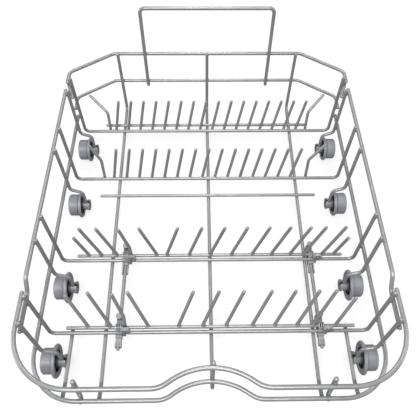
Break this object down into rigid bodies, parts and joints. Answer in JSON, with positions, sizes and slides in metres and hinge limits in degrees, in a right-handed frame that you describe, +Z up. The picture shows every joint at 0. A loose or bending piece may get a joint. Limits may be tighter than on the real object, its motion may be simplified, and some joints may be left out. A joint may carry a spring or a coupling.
{
  "type": "dishwasher basket",
  "caption": "Lower dishwasher basket of bent coated wire with tine rows, folding plate racks, a raised back loop and flanged wheels on both sides.",
  "frame": {"origin": "on the floor under the middle of the basket", "axes": "+X to the right seen from the front, +Y to the back with the raised loop, +Z up"},
  "size_m": [0.3754, 0.4596, 0.2028],
  "materials": {
    "coated_wire": "satin",
    "wheel_plastic": "satin",
    "carrier_plastic": "matte",
    "clip_plastic": "matte"
  },
  "bodies": {
    "basket": {"front_top_rail": "coated_wire", "lower_rail": "coated_wire", "back_top_rail": "coated_wire", "back_lower_rail": "coated_wire", "back_handle": "coated_wire", "long_wire_centre": "coated_wire", "floor_bar": "coated_wire", "row_bar": "coated_wire", "fixed_tines_1": "coated_wire", "fixed_tines_2": "coated_wire", "cross_wire_1": "coated_wire", "cross_wire_2": "coated_wire", "cross_wire_3": "coated_wire", "cross_wire_4": "coated_wire", "side_rail_left": "coated_wire", "long_wire_left": "coated_wire", "front_strut_left": "coated_wire", "front_upright_left": "coated_wire", "corner_link_left": "coated_wire", "link_wire_left": "coated_wire", "wheel_wire_left_1": "coated_wire", "wheel_wire_left_2": "coated_wire", "wheel_wire_left_3": "coated_wire", "wheel_wire_left_4": "coated_wire", "side_rail_right": "coated_wire", "long_wire_right": "coated_wire", "front_strut_right": "coated_wire", "front_upright_right": "coated_wire", "corner_link_right": "coated_wire", "link_wire_right": "coated_wire", "wheel_wire_right_1": "coated_wire", "wheel_wire_right_2": "coated_wire", "wheel_wire_right_3": "coated_wire", "wheel_wire_right_4": "coated_wire", "wheel_carrier_left_1": "carrier_plastic", "wheel_carrier_left_2": "carrier_plastic", "wheel_carrier_left_3": "carrier_plastic", "wheel_carrier_left_4": "carrier_plastic", "wheel_carrier_right_1": "carrier_plastic", "wheel_carrier_right_2": "carrier_plastic", "wheel_carrier_right_3": "carrier_plastic", "wheel_carrier_right_4": "carrier_plastic", "rear_clip_left": "clip_plastic", "front_clip_left": "clip_plastic", "rear_clip_right": "clip_plastic", "front_clip_right": "clip_plastic"},
    "rear_rack": {"rear_rack_rod": "coated_wire", "rear_rack_tines": "coated_wire"},
    "front_rack": {"front_rack_rod": "coated_wire", "front_rack_tines": "coated_wire"},
    "wheel_left_1": {"wheel_left_1": "wheel_plastic"},
    "wheel_left_2": {"wheel_left_2": "wheel_plastic"},
    "wheel_left_3": {"wheel_left_3": "wheel_plastic"},
    "wheel_left_4": {"wheel_left_4": "wheel_plastic"},
    "wheel_right_1": {"wheel_right_1": "wheel_plastic"},
    "wheel_right_2": {"wheel_right_2": "wheel_plastic"},
    "wheel_right_3": {"wheel_right_3": "wheel_plastic"},
    "wheel_right_4": {"wheel_right_4": "wheel_plastic"}
  },
  "joints": [
    {"name": "wheel_left_1_spin", "type": "hinge", "parent": "basket", "child": "wheel_left_1", "pos_m": [-0.1788, 0.146, 0.019], "axis": [1, 0, 0], "continuous": true},
    {"name": "wheel_left_2_spin", "type": "hinge", "parent": "basket", "child": "wheel_left_2", "pos_m": [-0.1788, 0.0465, 0.019], "axis": [1, 0, 0], "continuous": true},
    {"name": "wheel_left_3_spin", "type": "hinge", "parent": "basket", "child": "wheel_left_3", "pos_m": [-0.1788, -0.077, 0.019], "axis": [1, 0, 0], "continuous": true},
    {"name": "wheel_left_4_spin", "type": "hinge", "parent": "basket", "child": "wheel_left_4", "pos_m": [-0.1788, -0.1675, 0.019], "axis": [1, 0, 0], "continuous": true},
    {"name": "wheel_right_1_spin", "type": "hinge", "parent": "basket", "child": "wheel_right_1", "pos_m": [0.1788, 0.146, 0.019], "axis": [1, 0, 0], "continuous": true},
    {"name": "wheel_right_2_spin", "type": "hinge", "parent": "basket", "child": "wheel_right_2", "pos_m": [0.1788, 0.0465, 0.019], "axis": [1, 0, 0], "continuous": true},
    {"name": "wheel_right_3_spin", "type": "hinge", "parent": "basket", "child": "wheel_right_3", "pos_m": [0.1788, -0.077, 0.019], "axis": [1, 0, 0], "continuous": true},
    {"name": "wheel_right_4_spin", "type": "hinge", "parent": "basket", "child": "wheel_right_4", "pos_m": [0.1788, -0.1675, 0.019], "axis": [1, 0, 0], "continuous": true},
    {"name": "rear_rack_fold", "type": "hinge", "parent": "basket", "child": "rear_rack", "pos_m": [0, -0.0423, 0.0353], "axis": [-1, 0, 0], "range_deg": [0, 88]},
    {"name": "front_rack_fold", "type": "hinge", "parent": "basket", "child": "front_rack", "pos_m": [0, -0.1353, 0.0353], "axis": [-1, 0, 0], "range_deg": [-15, 70]}
  ]
}
